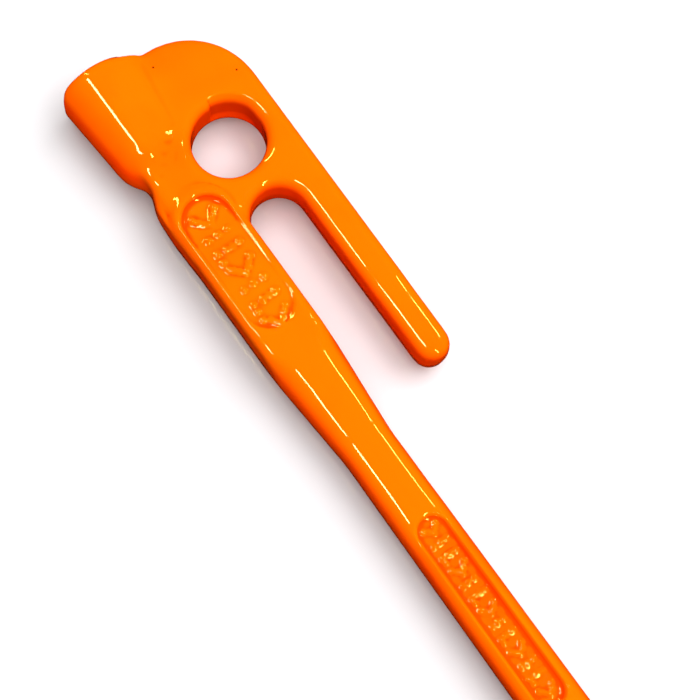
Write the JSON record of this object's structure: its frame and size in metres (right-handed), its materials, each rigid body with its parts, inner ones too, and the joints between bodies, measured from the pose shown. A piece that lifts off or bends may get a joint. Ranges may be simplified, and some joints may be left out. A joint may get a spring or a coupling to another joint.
{
  "type": "tent stake",
  "caption": "Forged steel tent stake with a round striking head, a pull hole, an open hook for a guy rope, sunk panels and a long tapering shank, coated in glossy orange enamel",
  "frame": {"origin": "on the striking face, where the shank's axis meets it", "axes": "+X runs along the shank from the striking face to the point, +Y points to the side of the hook, +Z comes out of the broad face"},
  "size_m": [0.28, 0.0282, 0.0134],
  "materials": {
    "enamel": "gloss"
  },
  "bodies": {
    "root": {"stake_forging": "enamel"}
  },
  "joints": []
}
